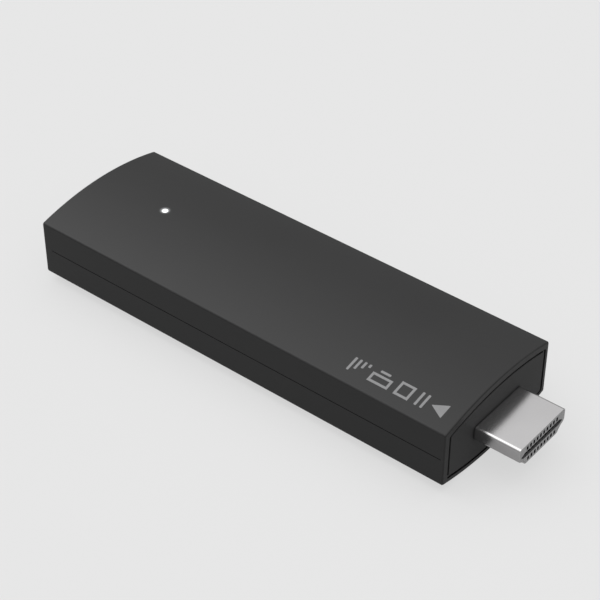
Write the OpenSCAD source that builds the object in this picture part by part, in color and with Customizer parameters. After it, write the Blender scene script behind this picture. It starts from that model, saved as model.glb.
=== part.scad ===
// Streaming media player stick.
// A crowned two-part casing snaps together round a small board. An end panel
// closes the front, the HDMI plug passes through it, and the rear wall holds
// the USB-C power inlet and a reset button.
// Millimetres. +X points to the tip of the plug, +Y across and +Z up. The
// origin is under the middle of the overall box, on the surface it rests on.

/* [Casing] */
// Length of the casing, from the rear wall to the front rim
body_len = 93; // [88:0.5:112]
// Width between the flat sides
body_w = 31; // [30:0.1:38]
// Height of the flat sides
side_h = 11.3; // [10.8:0.02:14]
// Rise of the crowned top, and of the crowned underside
crown_rise = 2.05; // [1.6:0.05:2.5]
// Thickness of the casing walls
wall = 1.6; // [1.3:0.02:1.95]
// Bevel along the four long edges
edge_bevel = 0.3; // [0.2:0.05:0.5]
// Radius on the two upright rear corners
corner_r = 0.6; // [0.3:0.1:1.2]
// Height of the reveal groove along the parting line
seam_h = 0.2; // [0.1:0.05:0.3]
// Depth of the reveal groove
seam_depth = 0.3; // [0.15:0.05:0.4]
// Where the groove stops short of the rear wall
seam_rear_stop = 1.9; // [1.5:0.1:4]
// Where the groove stops short of the front rim
seam_front_stop = 0.65; // [0.4:0.05:1]
// Height of the lip that laps inside the lower shell
lip_h = 1.0; // [0.6:0.1:1.4]

/* [End panel] */
// Thickness of the casing rim that frames the panel
rim_t = 1.1; // [1:0.02:1.3]
// Depth of that rim
rim_depth = 1.2; // [1:0.05:1.5]
// Visible gap between the rim and the panel
panel_gap = 0.4; // [0.2:0.05:0.5]
// Thickness of the hidden flange behind the panel
flange_t = 1.2; // [0.8:0.05:1.5]
// How far the flange reaches behind the rim
flange_catch = 0.4; // [0.3:0.05:0.5]

/* [HDMI plug] */
// Length of the plug outside the casing
plug_len = 9.2; // [8.5:0.1:11.1]
// Width of the plug shell
plug_w = 13.9; // [13.8:0.05:14]
// Height of the plug shell
plug_h = 4.45; // [4.4:0.01:4.5]
// Height of the plug's upright sides
plug_side_h = 2.62; // [2.4:0.02:2.8]
// Width of the plug's narrow face
plug_low_w = 9.36; // [9:0.02:9.6]
// How far the plug's middle lies below the middle of the casing
plug_drop = 0.7; // [0.4:0.05:0.8]
// Length of the plug inside the casing
plug_in = 5.5; // [4.5:0.1:7]
// Thickness of the plug's sheet metal
plug_sheet = 0.3; // [0.2:0.05:0.35]
// Gap between the plug and its opening
plug_gap = 0.25; // [0.15:0.05:0.35]
// Distance between neighbouring contacts
contact_pitch = 1.0; // [0.95:0.01:1]

/* [Board] */
// Thickness of the circuit board
board_t = 1.0; // [0.8:0.05:1.2]
// Free space between the board's edge and the casing walls
board_side_gap = 1.3; // [1.1:0.05:1.8]
// Distance of the board's rear edge from the rear wall's outside
board_rear_gap = 3.2; // [3.1:0.05:3.8]

/* [Power inlet] */
// Width of the USB-C shell
usb_w = 8.94; // [8.8:0.02:9.1]
// Height of the USB-C shell
usb_h = 3.2; // [3.1:0.02:3.3]
// Length of the USB-C shell
usb_len = 7.35; // [6.8:0.05:8]
// How far the inlet's mouth lies inside the rear wall's outside
usb_inset = 0.6; // [0.4:0.05:1]
// Gap between the inlet and its opening
port_gap = 0.15; // [0.1:0.01:0.25]

/* [Reset button] */
// Diameter of the button
button_d = 3.0; // [2.4:0.05:3.6]
// Place of the button across the rear wall
button_y = 10; // [8.8:0.1:10.5]
// How far the button lies below the rear wall's surface
button_recess = 0.2; // [0.1:0.05:0.4]
// How far the button travels
button_travel = 0.3; // [0.2:0.05:0.35]
// Clearance round the button in its hole
button_gap = 0.15; // [0.1:0.01:0.25]

/* [Status light] */
// Distance of the light from the rear wall's outside
led_from_rear = 17.25; // [15.5:0.25:18.5]
// Diameter of the light pipe where it shows
pipe_d = 1.3; // [0.8:0.1:1.6]

/* [Hidden] */
$fn = 180;
// Clearance between pieces that sit together
fit_gap = 0.05;
// Extra length that takes a cut cleanly through a face
cut = 1;
// A block of this size is larger than the whole object
big = 300;

body_h = side_h + 2 * crown_rise;
crown_r = body_w * body_w / (8 * crown_rise) + crown_rise / 2;
rear_x = -(body_len + plug_len) / 2;
front_x = rear_x + body_len;
tip_x = front_x + plug_len;
inner_bevel = 0.2;
panel_bevel = 0.35;
// The panel sits a little off the middle of the end, and two short tabs of it
// bridge the gap: one low on the left side, one at the right end of the top
panel_shift = [0.2, -0.2];
panel_tab = 0.45;
left_tab_z = crown_rise + 0.85;
top_tab_y = body_w / 2 - 1.85;
plug_z = body_h / 2 - plug_drop;

board_plug_gap = 0.1;
board_z = plug_z - board_t / 2;
board_top = board_z + board_t;
board_x0 = rear_x + board_rear_gap;
board_x1 = front_x - plug_in - board_plug_gap;
board_w = body_w - 2 * wall - 2 * board_side_gap;
board_len = board_x1 - board_x0;
board_cut_gap = 0.2;
// The casing parts a hair above the board, on the middle of inlet and button
split_over_board = 0.1;
split_z = board_top + split_over_board;

lip_front_gap = 0.3;
lip_x0 = rear_x + wall / 2;
lip_x1 = front_x - rim_depth - flange_t - lip_front_gap;

// Snap arms: three on each side of the upper shell
arm_w = 5;
arm_t = 0.8;
arm_gap = 0.1;
arm_drop = 3.4;
arm_root = 2.2;
arm_end = 18;
nib = 0.45;
nib_h = 1.1;
nib_flat = 0.3;
pocket_gap = 0.2;
arm_x = [for (i = [0:2]) rear_x + arm_end + i * (body_len - 2 * arm_end) / 2];

// Screws hold the board on two bosses, and four plain posts support it
screw_d = 1.5;
screw_head_d = 3.0;
screw_head_h = 0.7;
screw_len = 4;
screw_tip_gap = 0.5;
screw_slot = [1.8, 0.3, 0.4];
board_hole_gap = 0.2;
boss_d = 3.8;
post_d = 2.6;
post_y = board_w / 2 - 2.4;
screw_spots = [
    [board_x0 + 9.5, -post_y],
    [board_x1 - 13.5, post_y],
];
post_spots = [
    [board_x0 + 3, -post_y],
    [board_x0 + 16, post_y],
    [board_x0 + 40, -post_y],
    [board_x1 - 5, -post_y],
];

// Plug shell's upper corners, its insulator and its contacts
plug_bevel = 0.4;
slot_w = 11.6;
slot_h = 1.2;
slot_depth = 7;
chan_w = 0.5;
chan_h = 0.75;
upper_row = 1.22;
lower_row = 1.37;
upper_count = 10;
lower_count = 9;
contact_w = 0.34;
contact_t = 0.2;
contact_back = 0.6;
belly = 0.45;
belly_x = [1.2, 2.4, 4.2, 5.4];
window_gap = 0.3;
tail_len = 1.6;
tail_bend = 0.6;
leg_len = 2.4;
leg_root = 0.5;
leg_high = 1.5;
leg_low = 1.0;
leg_gap = 0.15;

// Power inlet
usb_sheet = 0.3;
usb_y = 0;
usb_x = rear_x + usb_inset;
usb_tongue_w = 6.69;
usb_tongue_t = 0.7;
usb_base = 2.6;
usb_tongue_back = 0.8;
usb_pins = 12;
usb_pitch = 0.5;
usb_pin_w = 0.25;
usb_pin_t = 0.05;
usb_pin_back = 0.5;
usb_tab_back = 1.8;
// Solder tabs of the inlet and of the switch
tab_w = 1.2;
tab_out = 0.9;
tab_t = 0.3;
tab_root = 0.1;

// Reset button and its side-acting switch
button_catch = 0.7;
button_collar_d = button_d + 2 * button_catch;
button_collar_t = 0.7;
button_stop = 0.1;
button_back = rear_x + wall + button_stop + button_collar_t;
plunger_w = 1.4;
plunger_h = 1.0;
plunger_out = 0.8;
plunger_in = 0.6;
plunger_gap = 0.1;
switch_x = button_back + plunger_out;
switch_w = 3.6;
switch_h = 2.2;
switch_t = 2.0;
switch_tab_back = 0.5;

// Status light
led_x = rear_x + led_from_rear;
led_size = [1.6, 0.8, 0.6];
pipe_air = 0.3;
pipe_low_d = pipe_d + 0.7;
pipe_collar_d = pipe_low_d + 1;
pipe_collar_t = 0.8;
pipe_sleeve_d = pipe_collar_d + 1.4;
pipe_sleeve_h = 2;

// Stamped antennas along the board's long edges
antenna_x = board_x0 + 19;
antenna_len = 14;
antenna_h = 3.8;
antenna_top = 1.8;
antenna_t = 0.25;
antenna_edge = 0.4;

// Shield, processor and heat path
shield_x = board_x0 + 36;
shield_size = [27, 20];
shield_sheet = 0.2;
shield_h = 1.6;
lid_skirt = 0.9;
soc_size = [14, 14, 1.1];
soc_x = shield_x + 8.5;
memory_size = [7.5, 9, 0.9];
memory_x = shield_x + 21;
memory_y = 4.9;
lid_z = board_top + shield_h;
soc_pad = 12;
lid_pad = [23, 16];
pad_t = 1.0;
spreader_z = lid_z + shield_sheet + pad_t;
// The spreader lies between the folded tops of the antennas
spreader_gap = 0.15;
spreader_w = board_w - 2 * (antenna_edge + antenna_t + antenna_top + spreader_gap);
spreader_size = [46, spreader_w, 0.8];
spreader_x = shield_x + shield_size.x / 2;
stake_d = 1.5;
stake_foot_d = 3;
stake_below = 0.4;
stake_grid = [41, 15];
stake_spots = [for (sx = [-1, 1], sy = [-1, 1]) [spreader_x + sx * stake_grid.x / 2, sy * stake_grid.y / 2]];

// Radio and other parts on the board
power_x = board_x0 + 11.5;
radio_x = board_x0 + 24;
radio_size = [15, 12, 0.6];
radio_can = [13.6, 10.8, 1.5];
flash_size = [11.5, 13, 1.0];
regulator_size = [3, 3, 0.8];
coil_size = [4, 4, 2];
crystal_size = [3.2, 2.5, 0.7];
cap_size = [1.6, 0.8, 0.8];
resistor_size = [1.0, 0.5, 0.35];
filter_size = [2.5, 1.2, 0.6];

// ---- outlines and helpers ----

// Stands a YZ outline up and runs it along X from x0
module along_x(x0, len) {
    translate([x0, 0, 0]) rotate([90, 0, 90]) linear_extrude(len) children();
}

module above(z) {
    translate([-big / 2, -big / 2, z]) cube(big);
}

module below(z) {
    translate([-big / 2, -big / 2, z - big]) cube(big);
}

module stadium(w, h) {
    square([w - h, h], center = true);
    for (s = [-1, 1]) translate([s * (w - h) / 2, 0]) circle(d = h);
}

// The casing's cross-section, brought in by inset: flat sides, a crown above
// and one below, and a narrow bevel where they meet
module casing_section(inset, bevel) {
    half = body_w / 2 - inset;
    arc = crown_r - inset;
    edge_z = body_h - crown_r + sqrt(arc * arc - half * half);
    corner = half + edge_z - body_h / 2 - bevel;
    intersection() {
        translate([0, body_h - crown_r]) circle(arc);
        translate([0, crown_r]) circle(arc);
        translate([-half, 0]) square([2 * half, body_h]);
        translate([0, body_h / 2]) rotate(45) square(corner * sqrt(2), center = true);
    }
}

// Plan view, with the two rear corners rounded
module plan_outline() {
    half = body_w / 2;
    translate([rear_x + corner_r, -half]) square([body_len, body_w]);
    translate([rear_x, -half + corner_r]) square([2 * corner_r, body_w - 2 * corner_r]);
    for (s = [-1, 1]) translate([rear_x + corner_r, s * (half - corner_r)]) circle(corner_r);
}

module outer_form() {
    intersection() {
        along_x(rear_x, body_len) casing_section(0, edge_bevel);
        translate([0, 0, -cut]) linear_extrude(body_h + 2 * cut) plan_outline();
    }
}

// Everything inside the walls, with the seat of the end panel at the front
module inner_space() {
    along_x(rear_x + wall, body_len) casing_section(wall, inner_bevel);
    along_x(front_x - rim_depth - flange_t, flange_t)
        casing_section(rim_t - flange_catch - fit_gap, inner_bevel);
    along_x(front_x - rim_depth, rim_depth + cut)
        translate(panel_shift) casing_section(rim_t, panel_bevel);
}

module walls() {
    difference() {
        outer_form();
        inner_space();
    }
}

// Holes in the rear wall: half in each shell
module rear_openings() {
    along_x(rear_x - cut, wall + 2 * cut) {
        translate([usb_y, split_z]) stadium(usb_w + 2 * port_gap, usb_h + 2 * port_gap);
        translate([button_y, split_z]) circle(d = button_d + 2 * button_gap);
    }
}

// Puts its children at each snap arm, with +Y outwards
module at_arms() {
    for (x = arm_x, s = [0, 1]) mirror([0, s, 0])
        translate([x, body_w / 2 - wall, split_z]) children();
}

// ---- casing ----

module snap_arm() {
    translate([-arm_w / 2, -arm_gap - arm_t, 0]) cube([arm_w, arm_t + arm_gap + wall / 4, arm_root]);
    translate([-arm_w / 2, -arm_gap - arm_t, -arm_drop]) cube([arm_w, arm_t, arm_drop + arm_root / 2]);
    translate([-arm_w / 2, 0, 0]) rotate([90, 0, 90]) linear_extrude(arm_w) polygon([
        [-arm_gap - arm_t / 2, -arm_drop],
        [-arm_gap, -arm_drop],
        [nib, -arm_drop + nib_h - nib_flat],
        [nib, -arm_drop + nib_h],
        [-arm_gap - arm_t / 2, -arm_drop + nib_h],
    ]);
}

module snap_pocket() {
    translate([-arm_w / 2 - pocket_gap, -wall, -arm_drop - pocket_gap])
        cube([arm_w + 2 * pocket_gap, wall + nib + fit_gap, nib_h + pocket_gap + fit_gap]);
}

// Lip of the upper shell, lapping inside the lower one
module lip() {
    intersection() {
        difference() {
            along_x(lip_x0 + fit_gap, lip_x1 - lip_x0 - fit_gap)
                casing_section(wall / 2 + fit_gap, inner_bevel);
            along_x(rear_x + wall, body_len) casing_section(wall, inner_bevel);
        }
        translate([0, 0, split_z - lip_h])
            linear_extrude(2 * lip_h) square([big, big], center = true);
    }
}

module top_shell() {
    color([0.17, 0.17, 0.18]) difference() {
        union() {
            intersection() {
                walls();
                above(split_z);
            }
            lip();
            at_arms() snap_arm();
            // Posts that hold the heat spreader, and a sleeve for the light pipe
            intersection() {
                union() {
                    for (p = stake_spots) translate([p.x, p.y, spreader_z + spreader_size.z])
                        cylinder(d = stake_foot_d, h = body_h);
                    for (p = stake_spots) translate([p.x, p.y, spreader_z - stake_below])
                        cylinder(d = stake_d, h = body_h);
                    translate([led_x, 0, body_h - wall - pipe_sleeve_h])
                        cylinder(d = pipe_sleeve_d, h = wall + pipe_sleeve_h);
                }
                along_x(rear_x + wall / 2, body_len - wall) casing_section(wall / 2, inner_bevel);
            }
        }
        rear_openings();
        translate([led_x, 0, board_top]) cylinder(d = pipe_d + 2 * fit_gap, h = body_h);
        translate([led_x, 0, board_top])
            cylinder(d = pipe_collar_d + 2 * fit_gap, h = body_h - wall - board_top);
        along_x(rear_x + seam_rear_stop, body_len - seam_rear_stop - seam_front_stop) difference() {
            translate([-body_w, split_z - seam_h]) square([2 * body_w, 2 * seam_h]);
            casing_section(seam_depth, edge_bevel);
        }
    }
}

module bottom_shell() {
    color([0.16, 0.16, 0.17]) difference() {
        union() {
            intersection() {
                walls();
                below(split_z);
            }
            intersection() {
                union() {
                    for (p = screw_spots) translate(p) cylinder(d = boss_d, h = board_z);
                    for (p = post_spots) translate(p) cylinder(d = post_d, h = board_z);
                }
                along_x(rear_x + wall / 2, body_len - wall) casing_section(wall / 2, inner_bevel);
            }
        }
        // Step that takes the upper shell's lip
        intersection() {
            along_x(lip_x0, lip_x1 - lip_x0 + fit_gap) casing_section(wall / 2, inner_bevel);
            above(split_z - lip_h - fit_gap);
        }
        at_arms() snap_pocket();
        rear_openings();
        for (p = screw_spots) translate([p.x, p.y, board_z - screw_len])
            cylinder(d = screw_d, h = screw_len + cut);
    }
}

module panel_outline() {
    translate(panel_shift) casing_section(rim_t + panel_gap, panel_bevel);
    intersection() {
        translate(panel_shift) casing_section(rim_t, panel_bevel);
        union() {
            translate([-body_w / 2, left_tab_z]) square([body_w / 4, panel_tab]);
            translate([top_tab_y, body_h / 2]) square([panel_tab, body_h / 2]);
        }
    }
}

module end_panel() {
    color([0.2, 0.2, 0.21]) difference() {
        union() {
            along_x(front_x - rim_depth, rim_depth) panel_outline();
            along_x(front_x - rim_depth - flange_t, flange_t)
                casing_section(rim_t - flange_catch, inner_bevel);
        }
        along_x(front_x - rim_depth - flange_t - cut, rim_depth + flange_t + 2 * cut)
            plug_section(-plug_gap);
    }
}

// ---- status light ----

module light_pipe() {
    foot = board_top + led_size.z + pipe_air;
    collar = body_h - wall - pipe_collar_t;
    color([0.9, 0.93, 0.95]) {
        translate([led_x, 0, foot]) cylinder(d = pipe_low_d, h = collar - foot);
        translate([led_x, 0, collar]) cylinder(d = pipe_collar_d, h = pipe_collar_t);
        translate([led_x, 0, collar]) cylinder(d = pipe_d, h = body_h - collar);
    }
}

module status_led() {
    color("white") on_board([led_x, 0], led_size);
}

// ---- HDMI plug ----

// Half of the plug's outline, brought in by c: chamfered upper corner, upright
// side, and a slope in to the narrow lower face
function plug_half(c) = let (
    w = plug_w / 2, h = plug_h / 2, low = plug_low_w / 2,
    slope = atan2(plug_h - plug_side_h, w - low)
) [
    [w - plug_bevel - c * tan(22.5), h - c],
    [w - c, h - plug_bevel - c * tan(22.5)],
    [w - c, h - plug_side_h + c * tan(45 - slope / 2)],
    [low - c * tan(slope / 2), -h + c],
];

module plug_section(c) {
    half = plug_half(c);
    translate([0, plug_z]) polygon(concat(half, [for (i = [3:-1:0]) [-half[i].x, half[i].y]]));
}

module hdmi_plug_shell() {
    color([0.75, 0.74, 0.73]) {
        along_x(front_x - plug_in, plug_in + plug_len) difference() {
            plug_section(0);
            plug_section(plug_sheet);
        }
        // Legs that run back from the sides and stand in the board's slots
        for (s = [-1, 1]) translate([front_x - plug_in, s * (plug_w - plug_sheet) / 2, plug_z])
            rotate([90, 0, 0]) linear_extrude(plug_sheet, center = true) polygon([
                [leg_root, leg_high],
                [-leg_len, leg_high],
                [-leg_len, -leg_low],
                [0, -leg_low],
                [0, 0],
                [leg_root, 0],
            ]);
    }
}

function upper_y(i) = (i - (upper_count - 1) / 2) * contact_pitch;
function lower_y(i) = (i - (lower_count - 1) / 2) * contact_pitch;

module hdmi_insulator() {
    color([0.55, 0.54, 0.54]) difference() {
        along_x(front_x - plug_in, plug_in + plug_len) plug_section(plug_sheet + fit_gap);
        translate([tip_x - slot_depth, -slot_w / 2, plug_z - slot_h / 2])
            cube([slot_depth + cut, slot_w, slot_h]);
        for (i = [0:upper_count - 1]) translate([0, upper_y(i), plug_z]) contact_channel(upper_row);
        for (i = [0:lower_count - 1]) translate([0, lower_y(i), plug_z])
            mirror([0, 0, 1]) contact_channel(lower_row);
    }
}

// A contact's channel, and the window that lets its belly reach the slot
module contact_channel(row) {
    translate([front_x - plug_in - cut, -chan_w / 2, row - chan_h / 2])
        cube([plug_in + plug_len + 2 * cut, chan_w, chan_h]);
    translate([tip_x - belly_x[3] - window_gap, -chan_w / 2, 0])
        cube([belly_x[3] - belly_x[0] + 2 * window_gap, chan_w, row]);
}

// Side view of one contact: a belly that springs into the slot, then a tail
// that bends down to lie on the board
function contact_outline(row) = let (
    back = board_x1, low = board_t / 2 + contact_t, up = row + contact_t / 2,
    top = [
        [tip_x - contact_back, up],
        [tip_x - belly_x[0], up],
        [tip_x - belly_x[1], up - belly],
        [tip_x - belly_x[2], up - belly],
        [tip_x - belly_x[3], up],
        [back, up],
        [back - tail_bend, low],
        [back - tail_bend - tail_len, low],
    ]
) concat(top, [for (i = [7:-1:0]) top[i] - [0, contact_t]]);

module contact_blade(row) {
    rotate([90, 0, 0]) linear_extrude(contact_w, center = true) polygon(contact_outline(row));
}

module hdmi_upper_contacts() {
    color([0.85, 0.68, 0.3]) for (i = [0:upper_count - 1])
        translate([0, upper_y(i), plug_z]) contact_blade(upper_row);
}

module hdmi_lower_contacts() {
    color([0.85, 0.68, 0.3]) for (i = [0:lower_count - 1])
        translate([0, lower_y(i), plug_z]) mirror([0, 0, 1]) contact_blade(lower_row);
}

// ---- board and fasteners ----

module main_board() {
    notch = usb_x + usb_len + board_cut_gap - board_x0;
    switch_notch = switch_x + switch_t + board_cut_gap - board_x0;
    slot = plug_sheet + 2 * leg_gap;
    color([0.05, 0.22, 0.12]) translate([0, 0, board_z]) difference() {
        translate([board_x0, -board_w / 2, 0]) cube([board_len, board_w, board_t]);
        translate([board_x0 - cut, usb_y - usb_w / 2 - board_cut_gap, -cut])
            cube([notch + cut, usb_w + 2 * board_cut_gap, board_t + 2 * cut]);
        translate([board_x0 - cut, button_y - switch_w / 2 - board_cut_gap, -cut])
            cube([switch_notch + cut, switch_w + 2 * board_cut_gap, board_t + 2 * cut]);
        for (s = [-1, 1]) translate([board_x1 - leg_len, s * (plug_w - plug_sheet) / 2 - slot / 2, -cut])
            cube([leg_len + cut, slot, board_t + 2 * cut]);
        for (p = screw_spots) translate([p.x, p.y, -cut])
            cylinder(d = screw_d + 2 * board_hole_gap, h = board_t + 2 * cut);
    }
}

module board_screws() {
    color([0.7, 0.7, 0.72]) for (p = screw_spots) translate([p.x, p.y, board_top]) difference() {
        union() {
            cylinder(d = screw_head_d, h = screw_head_h);
            translate([0, 0, screw_tip_gap - board_t - screw_len])
                cylinder(d = screw_d, h = board_t + screw_len);
        }
        for (a = [0, 90]) rotate(a)
            translate([-screw_slot.x / 2, -screw_slot.y / 2, screw_head_h - screw_slot.z]) cube(screw_slot);
    }
}

// A plain part soldered on the upper face of the board
module on_board(spot, size) {
    translate([spot.x - size.x / 2, spot.y - size.y / 2, board_top]) cube(size);
}

// The same on the lower face
module under_board(spot, size) {
    translate([spot.x - size.x / 2, spot.y - size.y / 2, board_z - size.z]) cube(size);
}

// ---- power inlet ----

module usb_c_shell() {
    color([0.78, 0.78, 0.79]) {
        along_x(usb_x, usb_len) translate([usb_y, split_z]) difference() {
            stadium(usb_w, usb_h);
            stadium(usb_w - 2 * usb_sheet, usb_h - 2 * usb_sheet);
        }
        // Solder tabs that rest on the board beside the inlet
        for (s = [-1, 1]) translate([
            usb_x + usb_len - usb_tab_back,
            usb_y + s * (usb_w / 2 + tab_out / 2 - tab_root) - tab_out / 2,
            board_top,
        ]) cube([tab_w, tab_out, tab_t]);
    }
}

module usb_c_tongue() {
    color([0.08, 0.08, 0.08]) {
        along_x(usb_x + usb_len - usb_base, usb_base) translate([usb_y, split_z])
            stadium(usb_w - 2 * usb_sheet, usb_h - 2 * usb_sheet);
        translate([usb_x + usb_tongue_back, usb_y - usb_tongue_w / 2, split_z - usb_tongue_t / 2])
            cube([usb_len - usb_base - usb_tongue_back + fit_gap, usb_tongue_w, usb_tongue_t]);
    }
}

module usb_c_contacts() {
    reach = usb_len - usb_base - usb_tongue_back - usb_pin_back;
    color([0.85, 0.68, 0.3]) for (i = [0:usb_pins - 1], s = [-1, 1]) translate([
        usb_x + usb_tongue_back + usb_pin_back,
        usb_y + (i - (usb_pins - 1) / 2) * usb_pitch - usb_pin_w / 2,
        split_z + s * (usb_tongue_t + usb_pin_t) / 2 - usb_pin_t / 2,
    ]) cube([reach, usb_pin_w, usb_pin_t]);
}

// ---- reset button and switch ----

module reset_button() {
    color([0.12, 0.12, 0.13]) {
        along_x(rear_x + button_recess, button_back - rear_x - button_recess)
            translate([button_y, split_z]) circle(d = button_d);
        along_x(button_back - button_collar_t, button_collar_t)
            translate([button_y, split_z]) circle(d = button_collar_d);
    }
}

module reset_switch_plunger() {
    color([0.85, 0.84, 0.8])
        translate([button_back, button_y - plunger_w / 2, split_z - plunger_h / 2])
            cube([plunger_out + plunger_in, plunger_w, plunger_h]);
}

module reset_switch_body() {
    color([0.6, 0.6, 0.62]) {
        difference() {
            translate([switch_x, button_y - switch_w / 2, split_z - switch_h / 2])
                cube([switch_t, switch_w, switch_h]);
            translate([
                switch_x - cut,
                button_y - plunger_w / 2 - plunger_gap,
                split_z - plunger_h / 2 - plunger_gap,
            ]) cube([
                cut + plunger_in + button_travel + plunger_gap,
                plunger_w + 2 * plunger_gap,
                plunger_h + 2 * plunger_gap,
            ]);
        }
        for (s = [-1, 1]) translate([
            switch_x + switch_tab_back,
            button_y + s * (switch_w / 2 + tab_out / 2 - tab_root) - tab_out / 2,
            board_top,
        ]) cube([tab_w, tab_out, tab_t]);
    }
}

// ---- processor, shield and heat path ----

module processor() {
    color([0.1, 0.1, 0.11]) on_board([soc_x, 0], soc_size);
}

module memory_chips() {
    color([0.11, 0.11, 0.12]) for (s = [-1, 1]) on_board([memory_x, s * memory_y], memory_size);
}

module flash_storage() {
    color([0.11, 0.11, 0.12]) under_board([soc_x, 0], flash_size);
}

module shield_frame() {
    inner = shield_size - 2 * [shield_sheet, shield_sheet];
    color([0.72, 0.72, 0.73]) translate([shield_x, 0, board_top]) difference() {
        translate([0, -shield_size.y / 2, 0]) cube([shield_size.x, shield_size.y, shield_h]);
        translate([shield_sheet, -inner.y / 2, -cut]) cube([inner.x, inner.y, shield_h + 2 * cut]);
    }
}

module shield_lid() {
    grow = shield_sheet + fit_gap;
    size = shield_size + 2 * [grow, grow];
    color([0.76, 0.76, 0.77]) translate([shield_x - grow, -size.y / 2, lid_z - lid_skirt]) difference() {
        cube([size.x, size.y, lid_skirt + shield_sheet]);
        translate([shield_sheet, shield_sheet, -cut])
            cube([size.x - 2 * shield_sheet, size.y - 2 * shield_sheet, lid_skirt + cut]);
    }
}

module processor_thermal_pad() {
    color([0.55, 0.65, 0.75]) translate([soc_x - soc_pad / 2, -soc_pad / 2, board_top + soc_size.z])
        cube([soc_pad, soc_pad, shield_h - soc_size.z]);
}

module lid_thermal_pad() {
    color([0.55, 0.65, 0.75]) translate([spreader_x - lid_pad.x / 2, -lid_pad.y / 2, lid_z + shield_sheet])
        cube([lid_pad.x, lid_pad.y, pad_t]);
}

module heat_spreader() {
    color([0.68, 0.69, 0.7]) difference() {
        translate([spreader_x - spreader_size.x / 2, -spreader_size.y / 2, spreader_z])
            cube(spreader_size);
        for (p = stake_spots) translate([p.x, p.y, spreader_z - cut])
            cylinder(d = stake_d + 2 * fit_gap, h = spreader_size.z + 2 * cut);
    }
}

// ---- radio ----

module wireless_board() {
    color([0.05, 0.2, 0.11]) on_board([radio_x, 0], radio_size);
}

module wireless_can() {
    color([0.74, 0.74, 0.75]) translate([0, 0, radio_size.z]) on_board([radio_x, 0], radio_can);
}

// A stamped antenna: an upright plate with its top edge folded inwards
module antenna() {
    translate([antenna_x, board_w / 2 - antenna_edge - antenna_t, board_top]) {
        cube([antenna_len, antenna_t, antenna_h]);
        translate([0, -antenna_top, antenna_h - antenna_t])
            cube([antenna_len, antenna_top + antenna_t, antenna_t]);
    }
}

module left_antenna() {
    color([0.8, 0.66, 0.35]) antenna();
}

module right_antenna() {
    color([0.8, 0.66, 0.35]) mirror([0, 1, 0]) antenna();
}

// ---- power and small parts ----

module power_regulator() {
    color([0.1, 0.1, 0.11]) on_board([power_x, 1.5], regulator_size);
}

module power_inductors() {
    color([0.35, 0.35, 0.37]) for (y = [-3.5, 6.5]) on_board([power_x, y], coil_size);
}

module ceramic_capacitors() {
    color([0.7, 0.55, 0.4]) {
        for (i = [0:3], s = [-1, 1]) under_board([soc_x - 4.5 + i * 3, s * 8], cap_size);
        for (i = [0:3]) on_board([led_x + 1.2, -7.6 + i * 1.6], cap_size);
        for (i = [0:4]) on_board([board_x1 - 9, -4 + i * 2], cap_size);
    }
}

module chip_resistors() {
    color([0.2, 0.2, 0.22]) {
        for (i = [0:8]) on_board([board_x1 - 6.6, -4 + i], resistor_size);
        for (i = [0:5]) under_board([radio_x - 5 + i * 2, -4], resistor_size);
    }
}

module clock_crystal() {
    color([0.8, 0.8, 0.78]) under_board([radio_x + 3, 1.5], crystal_size);
}

module hdmi_filter_chips() {
    color([0.12, 0.12, 0.13]) for (i = [0:3]) on_board([board_x1 - 12.2, -4.5 + i * 3], filter_size);
}

top_shell();
bottom_shell();
end_panel();
light_pipe();
status_led();
hdmi_plug_shell();
hdmi_insulator();
hdmi_upper_contacts();
hdmi_lower_contacts();
main_board();
board_screws();
usb_c_shell();
usb_c_tongue();
usb_c_contacts();
reset_button();
reset_switch_plunger();
reset_switch_body();
processor();
memory_chips();
flash_storage();
shield_frame();
shield_lid();
processor_thermal_pad();
lid_thermal_pad();
heat_spreader();
wireless_board();
wireless_can();
left_antenna();
right_antenna();
power_regulator();
power_inductors();
ceramic_capacitors();
chip_resistors();
clock_crystal();
hdmi_filter_chips();
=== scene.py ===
# %% [markdown]
# # A streaming stick, dressed for its portrait
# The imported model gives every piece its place. This lesson keeps those places and
# builds the looks around them: a moulded casing, a plated plug, a lit light pipe.
# The frame is loaded first because every later size is read from it or tied to it.

# %% Load the frame
import math

import bmesh
import bpy
from mathutils import Matrix, Vector


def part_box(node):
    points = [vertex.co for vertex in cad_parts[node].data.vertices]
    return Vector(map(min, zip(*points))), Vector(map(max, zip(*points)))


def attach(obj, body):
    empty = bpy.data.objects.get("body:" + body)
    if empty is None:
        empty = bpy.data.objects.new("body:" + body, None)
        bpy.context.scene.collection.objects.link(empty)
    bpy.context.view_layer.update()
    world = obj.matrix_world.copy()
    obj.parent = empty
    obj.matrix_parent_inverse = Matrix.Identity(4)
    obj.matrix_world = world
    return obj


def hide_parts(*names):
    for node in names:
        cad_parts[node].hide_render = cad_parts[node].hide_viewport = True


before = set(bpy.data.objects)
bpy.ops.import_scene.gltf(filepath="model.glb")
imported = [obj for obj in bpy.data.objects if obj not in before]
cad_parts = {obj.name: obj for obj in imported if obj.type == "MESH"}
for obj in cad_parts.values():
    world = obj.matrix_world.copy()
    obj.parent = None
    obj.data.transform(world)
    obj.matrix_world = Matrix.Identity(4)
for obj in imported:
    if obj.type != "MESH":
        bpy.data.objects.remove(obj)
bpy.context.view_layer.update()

MM = 0.001
print("pieces in the frame:", len(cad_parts))

# %% [markdown]
# ## Sizes of the casing
# The casing is a flat-sided bar with a slow crown on its top and on its underside.
# Its overall size could be typed in again, but then it would drift from the frame,
# so the corners are read from the two shells and only wall details are named here.

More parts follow.
